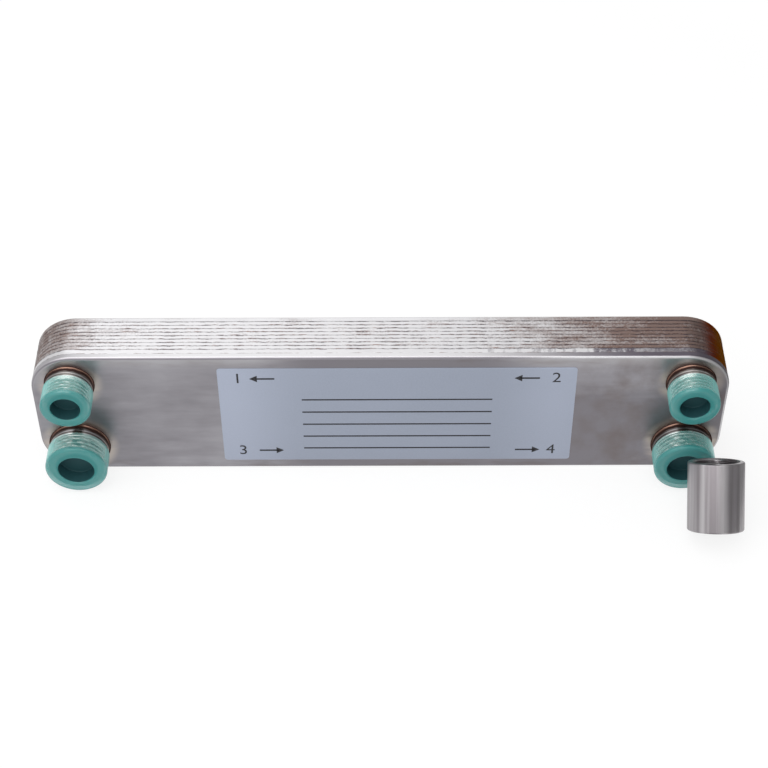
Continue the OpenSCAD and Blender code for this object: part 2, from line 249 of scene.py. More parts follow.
def cold_rolled_stainless():
    """Cold-rolled stainless sheet, pressed: satin grey with a soft grain along the length, cloudy
    patches a few centimetres wide, brown smudges along the long edges, dried spots on the outlet
    third, a pale straw halo round the ports that is a painted reflection of the braze rings and
    necks, a painted highlight along the top edge, and a skirt in brighter steel, partly burnished
    by the drawing die and partly a painted highlight on the fold, with painted shade on the rolled
    edge away from the outlet end and at the inlet corner, and smoked by the furnace towards its ends."""
    c = colours()
    material, node, place = new_material("cold_rolled_stainless")
    stretch = node("Mapping", {"Vector": place, "Scale": (0.08, 1, 1)})
    clouds = node("TexNoise", {"Vector": place, "Scale": 1 / (45 * MM), "Detail": 4})
    grain = node("TexNoise", {"Vector": stretch, "Scale": 1 / (0.9 * MM), "Detail": 3, "Roughness": 0.6})
    x, y, z = node("SeparateXYZ", {"Vector": place}).outputs
    off_middle = node("Math", {0: z, 1: MID_Z}, operation="SUBTRACT")
    height = node("Math", {0: off_middle}, operation="ABSOLUTE")
    edge = node("MapRange", {"Value": height, "From Min": 29.5 * MM, "From Max": 33 * MM}, **SMOOTH)
    wipe = node("Mapping", {"Vector": place, "Scale": (0.22, 1, 1)})
    marks = node("TexNoise", {"Vector": wipe, "Scale": 1 / (5 * MM), "Detail": 3})
    marked = node("MapRange", {"Value": marks, "From Min": 0.5, "From Max": 0.72, "To Max": 0.45})
    handled = node("Math", {0: edge, 1: marked}, operation="MULTIPLY")
    drops = node("TexNoise", {"Vector": place, "Scale": 1 / (13 * MM), "Detail": 5, "Roughness": 0.55})
    dried = node("MapRange", {"Value": drops, "From Min": 0.4, "From Max": 0.7, "To Max": 0.5})
    outlet_third = node("MapRange", {"Value": x, "From Min": 70 * MM, "From Max": 105 * MM}, **SMOOTH)
    spotted = node("Math", {0: dried, 1: outlet_third}, operation="MULTIPLY")
    smudge = node("Math", {0: handled, 1: spotted}, operation="MAXIMUM")
    # Duller in the lower half, more so towards the outlet end
    along = node("MapRange", {"Value": x, "From Min": -20 * MM, "From Max": 120 * MM}, **SMOOTH)
    low = node("MapRange", {
        "Value": off_middle, "From Min": 0.0, "From Max": 30 * MM, "To Min": 0.42, "To Max": 0.0,
    }, **SMOOTH)
    patchy = node("Math", {0: along, 1: low, 2: clouds}, operation="MULTIPLY_ADD")
    wiped = node("Math", {0: marks, 1: 0.5, 2: patchy}, operation="MULTIPLY_ADD")
    cloudy = node("MapRange", {"Value": wiped, "From Min": 0.6, "From Max": 1.05})
    # The narrow strips above and below the label are duller, from rubbing the label on
    sideways = node("Math", {0: x, 1: LABEL_MID_X}, operation="SUBTRACT")
    aside = node("Math", {0: sideways}, operation="ABSOLUTE")
    by_label = node("MapRange", {
        "Value": aside, "From Min": 35 * MM, "From Max": 72 * MM, "To Min": 1.0, "To Max": 0.0,
    }, **SMOOTH)
    strips = node("MapRange", {"Value": height, "From Min": 27 * MM, "From Max": 29 * MM})
    rubbed_on = node("Math", {0: by_label, 1: strips}, operation="MULTIPLY")
    dull = node("Math", {0: cloudy, 1: rubbed_on}, operation="MAXIMUM")
    satin = node("Mix", {MIX_FACTOR: dull, MIX_A: c.cover, MIX_B: c.cover_dull}, **RGBA)
    base = node("Mix", {MIX_FACTOR: smudge, MIX_A: satin, MIX_B: c.smudge}, **RGBA)
    # Distance from the nearest port's braze ring, with the four ports folded onto one
    centred = node("Mapping", {"Vector": place, "Location": (0, 0, -MID_Z), "Scale": (1, 0, 1)})
    folded = node("VectorMath", {0: centred}, operation="ABSOLUTE")
    port = port_place("wort_in")
    away = node("VectorMath", {0: folded, 1: (port.x, 0, port.y)}, operation="DISTANCE")
    upper = node("Math", {0: off_middle, 1: 0.0}, operation="GREATER_THAN")
    ring = node("MapRange", {
        "Value": upper, "To Min": ring_radius("water_in"), "To Max": ring_radius("wort_in"),
    })
    beyond = node("Math", {0: away, 1: ring}, operation="SUBTRACT")
    # Painted reflection: a pale straw halo round each braze ring, for the bright ring and neck seen in the
    # cover
    ring_halo = node("MapRange", {
        "Value": beyond, "From Max": 5 * MM, "To Min": 0.55, "To Max": 0.0,
    }, **SMOOTH)
    patches = node("MapRange", {"Value": marks, "From Min": 0.35, "From Max": 0.6, "To Min": 0.3})
    tint = node("Math", {0: ring_halo, 1: patches}, operation="MULTIPLY")
    with_halo = node("Mix", {MIX_FACTOR: tint, MIX_A: base, MIX_B: c.heat}, **RGBA)
    # The skirt and its fold get the brighter plate steel: partly burnished steel, partly a painted
    # highlight along the fold; at the inlet corner it is toned down as painted shade
    left_corner_dim = node("MapRange", {
        "Value": x, "From Min": -155 * MM, "From Max": -146 * MM, "To Min": 0.4,
    })
    fold = node("MapRange", {
        "Value": y, "From Min": FRONT_Y + 0.01 * MM, "From Max": FRONT_Y + 0.12 * MM,
    })
    brightened_skirt = node("Math", {0: fold, 1: left_corner_dim}, operation="MULTIPLY")
    # Painted highlight: the cover face lighter towards its top edge, less so beside the label
    edge_highlight = 0.35
    lightened = node("MapRange", {
        "Value": off_middle, "From Min": 29 * MM, "From Max": 35 * MM, "To Max": edge_highlight,
    })
    still_bright = node("Math", {0: rubbed_on, 1: -edge_highlight, 2: lightened}, operation="MULTIPLY_ADD")
    drawn = node("Math", {0: brightened_skirt, 1: still_bright}, operation="MAXIMUM")
    outlet_end = node("MapRange", {"Value": x, "From Min": 20 * MM, "From Max": 125 * MM}, **SMOOTH)
    inlet_end = node("MapRange", {
        "Value": x, "From Min": -156 * MM, "From Max": -110 * MM, "To Min": 0.5, "To Max": 0.0,
    }, **SMOOTH)
    ends = node("Math", {0: outlet_end, 1: inlet_end}, operation="ADD")
    past_fold = node("MapRange", {
        "Value": y, "From Min": FRONT_Y + 0.4 * MM, "From Max": FRONT_Y + 0.9 * MM,
    })
    heated_skirt = node("Math", {0: ends, 1: past_fold}, operation="MULTIPLY")
    # Painted shade on the rolled edge, toning its highlight down, apart from the outlet end
    roll = node("MapRange", {
        "Value": y, "From Min": FRONT_Y + 0.5 * MM, "From Max": FRONT_Y + 0.9 * MM, "To Min": 0.8,
        "To Max": 0.0,
    })
    on_roll = node("Math", {0: roll, 1: fold}, operation="MULTIPLY")
    inlet_part = node("MapRange", {
        "Value": x, "From Min": 50 * MM, "From Max": 95 * MM, "To Min": 1.0, "To Max": 0.0,
    }, **SMOOTH)
    roll_shade = node("Math", {0: on_roll, 1: inlet_part}, operation="MULTIPLY")
    # Smoked film towards the skirt's ends, and the painted shade of the rolled edge
    tarnish_and_shade = node("Math", {0: heated_skirt, 1: roll_shade}, operation="MAXIMUM")
    skirt = node("Mix", {MIX_FACTOR: tarnish_and_shade, MIX_A: c.plate, MIX_B: c.smoke}, **RGBA)
    finish = node("Mix", {MIX_FACTOR: drawn, MIX_A: with_halo, MIX_B: skirt}, **RGBA)
    close_metal(node, finish, grain, rough=(0.3, 0.45), strength=0.12, depth=0.05 * MM)
    return material


def brazed_plate_stainless():
    """Pressed stainless plates after furnace brazing: bright edges, dark lines along every lip that
    are braze run-outs and painted shade of the crevices between the lips, a brown copper film that
    deepens towards the outlet end and turns maroon there, with amber at the outer edge that is
    partly a painted highlight, and a satin back."""
    c, s = colours(), sizes()
    material, node, place = new_material("brazed_plate_stainless")
    x, y = node("SeparateXYZ", {"Vector": place}).outputs[:2]
    smear = node("Mapping", {"Vector": place, "Scale": (0.35, 1, 1)})
    blotch = node("TexNoise", {"Vector": smear, "Scale": 1 / (6 * MM), "Detail": 5, "Roughness": 0.65})
    fine = node("TexNoise", {"Vector": place, "Scale": 1 / (0.9 * MM), "Detail": 3})
    towards = node("MapRange", {
        "Value": x, "From Min": 20 * MM, "From Max": 130 * MM, "To Min": -0.33, "To Max": 0.31,
    }, **SMOOTH)
    corner = node("MapRange", {
        "Value": x, "From Min": -160 * MM, "From Max": -110 * MM, "To Min": 0.57, "To Max": 0.0,
    }, **SMOOTH)
    along = node("Math", {0: towards, 1: corner}, operation="ADD")
    mottle = node("Math", {0: fine, 1: 0.5, 2: blotch}, operation="MULTIPLY_ADD")
    filmed = node("Math", {0: along, 1: mottle}, operation="ADD")
    film = node("MapRange", {"Value": filmed, "From Min": 0.5, "From Max": 1.05})
    # Maroon film at the outlet end, turning amber at the outer edge; the amber is partly a painted
    # highlight on that edge
    end = node("MapRange", {"Value": x, "From Min": 142 * MM, "From Max": 150 * MM}, **SMOOTH)
    spread = node("Math", {0: blotch, 1: 8 * MM, 2: x}, operation="MULTIPLY_ADD")
    outer = node("MapRange", {"Value": spread, "From Min": 152 * MM, "From Max": 158 * MM}, **SMOOTH)
    hot = node("Mix", {MIX_FACTOR: outer, MIX_A: c.scorch, MIX_B: c.amber}, **RGBA)
    uneven = node("MapRange", {"Value": blotch, "From Min": 0.35, "From Max": 0.6, "To Min": 0.8})
    burnt = node("Math", {0: end, 1: uneven}, operation="MULTIPLY")
    # Seen along its surface, bare metal throws back white light, and the film golden light
    rim = node("Mix", {MIX_FACTOR: burnt, MIX_A: WHITE, MIX_B: c.film_rim}, **RGBA)
    # Distance behind the nearest lip's edge, as a share of the pitch, along a line that wanders
    wander = node("TexNoise", {"Vector": place, "Scale": 1 / (5 * MM), "Detail": 2})
    strayed = node("Math", {0: wander, 1: 1.1 * MM, 2: y}, operation="MULTIPLY_ADD")
    behind = node("Math", {0: strayed, 1: FIRST_EDGE_Y + 0.55 * MM}, operation="SUBTRACT")
    share = node("Math", {0: behind, 1: 1 / s.plate_pitch}, operation="MULTIPLY")
    phase = node("Math", {0: share}, operation="FRACT")
    # Dark line along each lip: braze run-out near its own edge, and painted shade of the crevice just
    # behind the edge in front
    before = node("MapRange", {"Value": phase, "From Min": 0.74, "From Max": 0.9})
    after = node("MapRange", {
        "Value": phase, "From Min": 0.05, "From Max": 0.16, "To Min": 0.5, "To Max": 0.0,
    })
    near = node("Math", {0: before, 1: after}, operation="MAXIMUM")
    # Rib ends print through at the same places on every lip
    across = node("Mapping", {"Vector": place, "Scale": (1, 0.03, 0.03)})
    pressed = node("TexNoise", {"Vector": across, "Scale": 1 / (3.5 * MM), "Detail": 1})
    grainy = node("Math", {0: fine, 1: pressed}, operation="ADD")
    strength = node("MapRange", {
        "Value": grainy, "From Min": 0.75, "From Max": 1.2, "To Min": 0.25, "To Max": 0.9,
    })
    deeper = node("Math", {0: film, 1: 0.3, 2: strength}, operation="MULTIPLY_ADD")
    streak = node("Math", {0: near, 1: deeper}, operation="MULTIPLY")
    # No line on the back cover, nor on the front half of the first lip
    lips_from, lips_to = FIRST_EDGE_Y - 0.6 * s.plate_pitch, BACK_LOW.y
    lips = node("Math", {
        0: y, 1: (lips_from + lips_to) / 2, 2: (lips_to - lips_from) / 2,
    }, operation="COMPARE")
    drowned = node("MapRange", {"Value": end, "To Min": 1.0, "To Max": 0.35})
    kept = node("Math", {0: lips, 1: drowned}, operation="MULTIPLY")
    run_out_and_crevice_shade = node("Math", {0: streak, 1: kept}, operation="MULTIPLY")
    first = node("Math", {0: y, 1: FIRST_EDGE_Y}, operation="LESS_THAN")
    hue = node("Mix", {MIX_FACTOR: first, MIX_A: c.stain, MIX_B: c.smoke}, **RGBA)
    # On the first lip the film is left off in patches where the rib ends print through, fewer towards the
    # outlet end, and wholly on the inlet half
    ragged = node("Math", {0: fine, 1: 0.5, 2: pressed}, operation="MULTIPLY_ADD")
    worn = node("MapRange", {"Value": ragged, "From Min": 0.64, "From Max": 0.83})
    fading = node("MapRange", {
        "Value": x, "From Min": 95 * MM, "From Max": 132 * MM, "To Min": 1.0, "To Max": 0.1,
    })
    ribs = node("Math", {0: worn, 1: fading}, operation="MULTIPLY")
    inlet_half = node("Math", {0: x, 1: 0.0}, operation="LESS_THAN")
    clean = node("Math", {0: ribs, 1: inlet_half}, operation="MAXIMUM")
    lightened = node("Math", {0: clean, 1: first}, operation="MULTIPLY")
    left_on = node("Math", {0: film, 1: lightened}, operation="SUBTRACT")
    tinted = node("Mix", {MIX_FACTOR: left_on, MIX_A: c.plate, MIX_B: hue}, **RGBA)
    scorched = node("Mix", {MIX_FACTOR: burnt, MIX_A: tinted, MIX_B: hot}, **RGBA)
    lined = node("Mix", {MIX_FACTOR: run_out_and_crevice_shade, MIX_A: scorched, MIX_B: c.run_out_and_crevice_shade}, **RGBA)
    # The flat of the back cover is satin sheet, as the front is, with a trace of the film
    satin = node("Mix", {MIX_FACTOR: blotch, MIX_A: c.cover, MIX_B: c.cover_dull}, **RGBA)
    flat = node("MapRange", {
        "Value": y, "From Min": BACK_HIGH.y - 0.6 * MM, "From Max": BACK_HIGH.y - 0.05 * MM,
        "To Max": 0.85,
    })
    base = node("Mix", {MIX_FACTOR: flat, MIX_A: lined, MIX_B: satin}, **RGBA)
    tint = {"Specular Tint": rim}
    close_metal(node, base, blotch, rough=(0.2, 0.5), strength=0.35, depth=0.4 * MM, inputs=tint)
    return material


COPPER = "frozen_copper_braze"


def copper_braze():
    """Copper braze that has run and frozen: lumpy, half bright and half under a dark oxide skin, which
    is darkest where the copper thins out: partly oxide, and on the fillets partly painted shade
    where they meet the neck and the cover."""
    c = colours()
    material, node, place = new_material(COPPER)
    skin = node("TexNoise", {"Vector": place, "Scale": 1 / (2.2 * MM), "Detail": 4, "Roughness": 0.6})
    thin = node("Attribute", attribute_name="thin").outputs["Fac"]
    skin_and_shade = node("Math", {0: skin, 1: thin}, operation="ADD")
    dark = node("MapRange", {"Value": skin_and_shade, "From Min": 0.4, "From Max": 0.62})
    base = node("Mix", {MIX_FACTOR: dark, MIX_A: c.braze, MIX_B: c.oxide}, **RGBA)
    rough = node("MapRange", {"Value": dark, "To Min": 0.25, "To Max": 0.55})
    relief = node("Bump", {"Height": skin, "Strength": 0.4, "Distance": 0.15 * MM})
    close_material(node, {"Base Color": base, "Metallic": 1.0, "Roughness": rough, "Normal": relief})
    return material


def turned_stainless():
    """Turned stainless bar: bright, with fine tool marks round the axis, thread roots darker with a
    duller skin and painted shade in the grooves, and darker grey bands round the necks."""
    c, s = colours(), sizes()
    material, node, place = new_material("turned_stainless")
    rings = node("Mapping", {"Vector": place, "Scale": (0.05, 1, 0.05)})
    marks = node("TexNoise", {"Vector": rings, "Scale": 1 / (0.25 * MM), "Detail": 2})
    patina = node("TexNoise", {"Vector": place, "Scale": 1 / (4 * MM), "Detail": 3})
    bare = node("Mix", {MIX_FACTOR: patina, MIX_A: c.port, MIX_B: c.port_dull}, **RGBA)
    root = node("Attribute", attribute_name="root").outputs["Fac"]
    y = node("SeparateXYZ", {"Vector": place}).outputs["Y"]
    # Darker grey bands round the neck, 1.7 mm apart
    neck_end, ring_gap = FRONT_Y - s.neck_len, 1.7 * MM
    neck = node("MapRange", {"Value": y, "From Min": neck_end - 0.6 * MM, "From Max": neck_end + 0.4 * MM})
    phase = node("Math", {0: y, 1: 2 * math.pi / ring_gap}, operation="MULTIPLY")
    wave = node("Math", {0: phase}, operation="SINE")
    rung = node("MapRange", {"Value": wave, "From Min": -0.6, "From Max": 0.2, "To Min": 0.2})
    neck_bands = node("Math", {0: neck, 1: rung}, operation="MULTIPLY")
    # Darker thread roots: a duller skin, and painted shade in the grooves
    threaded = node("Mix", {MIX_FACTOR: root, MIX_A: bare, MIX_B: c.root_skin_and_shade}, **RGBA)
    base = node("Mix", {MIX_FACTOR: neck_bands, MIX_A: threaded, MIX_B: c.neck}, **RGBA)
    close_metal(node, base, marks, rough=(0.12, 0.26), strength=0.15, depth=0.03 * MM)
    return material


def bore_skin_and_shade():
    """Stainless steel dulled in the brazing furnace, and painted nearly black as the shade deep in the
    bore: even and matt, with faint clouds.
    """
    c = colours()
    material, node, place = new_material("bore_skin_and_shade")
    clouds = node("TexNoise", {"Vector": place, "Scale": 1 / (3 * MM), "Detail": 3})
    faint = node("MapRange", {"Value": clouds, "To Max": 0.25})
    base = node("Mix", {MIX_FACTOR: faint, MIX_A: c.bore, MIX_B: c.cover_dull}, **RGBA)
    rough = node("MapRange", {"Value": clouds, "To Min": 0.45, "To Max": 0.65})
    close_material(node, {"Base Color": base, "Metallic": 1.0, "Roughness": rough})
    return material


def teal_polyethylene():
    """Moulded low-density polyethylene: a thin, milky teal sleeve that lets the thread below shine
    through, with a waxy gloss and a faint haze, a thicker, deeper teal end, and an opaque plug painted
    dark teal as the shade of the hollow and the bore behind it."""
    c = colours()
    material, node, place = new_material("teal_polyethylene")
    haze = node("TexNoise", {"Vector": place, "Scale": 1 / (7 * MM), "Detail": 3})
    sleeve = node("Mix", {MIX_FACTOR: haze, MIX_A: c.cap, MIX_B: c.cap_haze}, **RGBA)
    # 0 on the sleeve, 1 on the end and 2 in the plug
    part = node("Attribute", attribute_name="part").outputs["Fac"]
    ended = node("Mix", {MIX_FACTOR: part, MIX_A: sleeve, MIX_B: c.cap_end}, **RGBA)
    # Painted shade: the plug is opaque dark teal, for the shade of the hollow and the dark bore behind it
    inside = node("MapRange", {"Value": part, "From Min": 1, "From Max": 2})
    base = node("Mix", {MIX_FACTOR: inside, MIX_A: ended, MIX_B: c.plug}, **RGBA)
    # The wall is denser where the eye looks along it, as in tinted glass
    facing = node("LayerWeight", {"Blend": 0.5}).outputs["Facing"]
    wall = node("MapRange", {
        "Value": facing, "From Min": 0.35, "From Max": 0.95, "To Min": 0.2, "To Max": 0.66,
    }, **SMOOTH)
    solid = node("MapRange", {"Value": part, "From Max": 1.45})
    cover = node("Math", {0: wall, 1: solid}, operation="MAXIMUM")
    waxy = node("MapRange", {"Value": haze, "To Min": 0.26, "To Max": 0.38})
    rough = node("Math", {0: inside, 1: 0.35, 2: waxy}, operation="MULTIPLY_ADD")
    close_material(node, {"Base Color": base, "Roughness": rough, "IOR": 1.51, "Alpha": cover})
    return material


def silver_label_film():
    """Printed polyester film: satin silver-blue with a fine grain, a weak gloss and a duller middle."""
    c = colours()
    material, node, place = new_material("silver_label_film")
    grain = node("TexNoise", {"Vector": place, "Scale": 1 / (0.8 * MM), "Detail": 2})
    wave = node("TexNoise", {"Vector": place, "Scale": 1 / (60 * MM), "Detail": 2})
    mixed = node("Math", {0: grain, 1: wave}, operation="MULTIPLY")
    spread = node("MapRange", {"Value": mixed, "From Min": 0.1, "From Max": 0.4})
    x = node("SeparateXYZ", {"Vector": place}).outputs["X"]
    sideways = node("Math", {0: x, 1: LABEL_MID_X}, operation="SUBTRACT")
    aside = node("Math", {0: sideways}, operation="ABSOLUTE")
    middle = node("MapRange", {
        "Value": aside, "From Min": 40 * MM, "From Max": 78 * MM, "To Min": 0.7, "To Max": 0.0,
    }, **SMOOTH)
    worn = node("Math", {0: spread, 1: 0.3, 2: middle}, operation="MULTIPLY_ADD")
    base = node("Mix", {MIX_FACTOR: worn, MIX_A: c.label, MIX_B: c.label_worn}, **RGBA)
    rough = node("MapRange", {"Value": wave, "To Min": 0.35, "To Max": 0.5})
    close_material(node, {"Base Color": base, "Roughness": rough})
    return material


def label_ink():
    """Screen-printed ink: matt blue-black with thin spots."""
    c = colours()
    material, node, place = new_material("label_ink")
    thin = node("TexNoise", {"Vector": place, "Scale": 1 / (0.6 * MM), "Detail": 2})
    worn = node("MapRange", {"Value": thin, "From Min": 0.55, "From Max": 0.8, "To Max": 0.15})
    base = node("Mix", {MIX_FACTOR: worn, MIX_A: c.ink, MIX_B: c.label_worn}, **RGBA)
    close_material(node, {"Base Color": base, "Roughness": 0.55})
    return material


def brushed_304(to_axis):
    """Drawn 304 tube, turned at its ends: lengthwise light and dark streaks a few millimetres wide, partly
    drawing marks and partly painted reflections of the round tube.
    """
    c = colours()
    material, node, place = new_material("brushed_304")
    own = node("Mapping", {
        "Vector": place, "Rotation": to_axis.to_euler(), "Location": to_axis.to_translation(),
    })
    drawn = node("Mapping", {"Vector": own, "Scale": (1, 1, 0.02)})
    streaks = node("TexNoise", {"Vector": drawn, "Scale": 1 / (6 * MM), "Detail": 5, "Roughness": 0.5})
    hair = node("TexNoise", {"Vector": drawn, "Scale": 1 / (0.35 * MM), "Detail": 2})
    # Light streaks along the tube: drawing marks, and painted reflections
    bright = node("MapRange", {"Value": streaks, "From Min": 0.4, "From Max": 0.66})
    base = node("Mix", {MIX_FACTOR: bright, MIX_A: c.coupling, MIX_B: c.coupling_streak_and_reflection}, **RGBA)
    close_metal(node, base, hair, rough=(0.3, 0.5), strength=0.12, depth=0.03 * MM)
    return material


def add_object(name, bm, material):
    """Turns a finished bmesh into an object with one material."""
    mesh = bpy.data.meshes.new(name)
    bm.to_mesh(mesh)
    bm.free()
    mesh.materials.append(material)
    made = bpy.data.objects.new(name, mesh)
    bpy.context.scene.collection.objects.link(made)
    return made


def add_piece(name, bm, place, material, replaced=None, body=BODY):
    """Puts a modelled bmesh in its place, as a piece that rides on a body and replaces a CAD node."""
    bmesh.ops.transform(bm, matrix=place, verts=bm.verts)
    bmesh.ops.remove_doubles(bm, verts=bm.verts, dist=1e-7)
    bmesh.ops.recalc_face_normals(bm, faces=bm.faces)
    piece = add_object(name, bm, material)
    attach(piece, body)
    if replaced:
        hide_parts(replaced)
    return piece


def round_corners(bm, corners, radius, segments):
    """Rounds corners of a flat outline."""
    bmesh.ops.bevel(
        bm, geom=corners, offset=radius, offset_type="OFFSET", segments=segments,
        profile=0.5, affect="VERTICES", material=-1,
    )


def smooth_by_angle(bm, degrees):
    """Smooth faces, with sharp edges where the surface turns by more than the angle."""
    bm.normal_update()
    for face in bm.faces:
        face.smooth = True
    for edge in bm.edges:
        edge.smooth = edge.calc_face_angle(math.pi) < math.radians(degrees)


def lathe(profile, rounds, steps, closed):
    """Spins a profile of (radius, height) points round z; rounds gives corner radii by index."""
    bm = bmesh.new()
    points = [bm.verts.new((r, 0, z)) for r, z in profile]
    pairs = list(zip(points, points[1:] + points[:1]))
    for a, b in pairs if closed else pairs[:-1]:
        bm.edges.new((a, b))
    for index, radius in rounds.items():
        round_corners(bm, [points[index]], radius, 5)
    bmesh.ops.spin(
        bm, geom=bm.verts[:] + bm.edges[:], cent=(0, 0, 0), axis=(0, 0, 1),
        angle=2 * math.pi, steps=steps, use_merge=True,
    )
    bmesh.ops.remove_doubles(bm, verts=bm.verts, dist=1e-6)
    bmesh.ops.recalc_face_normals(bm, faces=bm.faces)
    return bm


def port_place(name):
    """Middle of a port on the front face, in the flat drawing."""
    low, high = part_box(f"{name}_port")
    return Vector(((low.x + high.x) / 2, (low.z + high.z) / 2 - MID_Z, 0))


def ring_radius(name):
    """Outside radius of the braze ring round a port."""
    low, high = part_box(f"{name}_braze_ring")
    return (high.z - low.z) / 2


def port_sizes(name):
    """Thread radius, bore radius, thread pitch and length outside the cover of a port."""
    s = sizes()
    low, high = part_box(f"{name}_port")
    wort = name.startswith("wort")
    bore_r = s.wort_bore_r if wort else s.water_bore_r
    pitch = s.wort_pitch if wort else s.water_pitch
    return (high.z - low.z) / 2, bore_r, pitch, FRONT_Y - low.y


def thread_share(point, pitch):
    """Share of the thread's depth at a point round z: flat crests and roots, sloped flanks."""
    turns = point.z / pitch - math.atan2(point.y, point.x) / (2 * math.pi)
    flank_slope, crest_flat = 3.2, 0.25
    return min(1.0, max(0.0, abs(turns % 1.0 - 0.5) * flank_slope - crest_flat))


class CHILLER_OT_plates(bpy.types.Operator):
    """Give the covers and the plate pack their steel"""

    bl_idname = "chiller.plates"
    bl_label = "Covers and plates"

    def execute(self, context):
        cover, plate = cold_rolled_stainless(), brazed_plate_stainless()
        for name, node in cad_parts.items():
            if name == "front_cover_plate":
                node.data.materials[0] = cover
            elif name.endswith("_plate") or name.startswith("channel_plate"):
                node.data.materials[0] = plate
        return {"FINISHED"}


class CHILLER_OT_seams(bpy.types.Operator):
    """Model the uneven copper beads behind the lips"""

    bl_idname = "chiller.seams"
    bl_label = "Braze seams"

    def execute(self, context):
        s = sizes()
        copper = bpy.data.materials.get(COPPER) or copper_braze()
        half = Vector((COVER_HIGH.x, MID_Z - COVER_LOW.z))
        core = Vector((half.x - s.cover_r, half.y - s.cover_r))
        inset = s.lip_in + 0.34 * MM
        arc_steps, point_gap, sides = 40, 0.9 * MM, 8
        lump, wave = 1.6 * MM, 9 * MM
        for k in range(1, PLATES + 1):
            bm = bmesh.new()
            bmesh.ops.create_grid(bm, x_segments=1, y_segments=1, size=1)
            bmesh.ops.scale(bm, vec=(half.x, half.y, 1), verts=bm.verts)
            round_corners(bm, bm.verts[:], s.cover_r, arc_steps)
            for edge in [e for e in bm.edges if e.calc_length() > 10 * point_gap]:
                cuts = round(edge.calc_length() / point_gap)
                bmesh.ops.subdivide_edges(bm, edges=[edge], cuts=cuts)
            bmesh.ops.delete(bm, geom=bm.faces[:], context="FACES_ONLY")
            first = loop = bm.edges[:]
            edge_y = COVER_HIGH.y if k == 1 else FIRST_EDGE_Y + (k - 2) * s.plate_pitch
            depth = edge_y - FRONT_Y + 0.1 * MM
            for i in range(sides):
                verts = set(bm.verts)
                if i:
                    made = bmesh.ops.extrude_edge_only(bm, edges=loop)["geom"]
                    loop = [g for g in made if isinstance(g, bmesh.types.BMEdge) and g.is_boundary]
                    verts = {v for e in loop for v in e.verts}
                angle = 2 * math.pi * i / sides
                rise, back = math.sin(angle), math.cos(angle)
                for v in verts:
                    inner = Vector([max(-c, min(c, p)) for c, p in zip(core, v.co.xy)])
                    out = (v.co.xy - inner).normalized()
                    at = inner + out * s.cover_r
                    # Each bead has its own layer of the noise
                    spot = Vector((*at, k * 0.37)) / lump
                    slow = Vector((*at, k * 0.11)) / wave
                    stray = noise.noise(spot) + 0.8 * noise.noise(slow)
                    bead = s.seam_bead * (1 + 0.35 * noise.noise(slow * 1.7))
                    lift = s.seam_stray * max(-0.9, stray)
                    foot = min(s.cover_r, s.cover_r - inset + rise * bead + lift)
                    v.co.xy = inner + out * foot
                    v.co.z = -depth - back * bead - 0.5 * lift
            bmesh.ops.bridge_loops(bm, edges=first + loop)
            smooth_by_angle(bm, 60)
            add_piece(f"braze_bead_{k}", bm, STAND, copper, f"braze_seam_{k}")
        return {"FINISHED"}


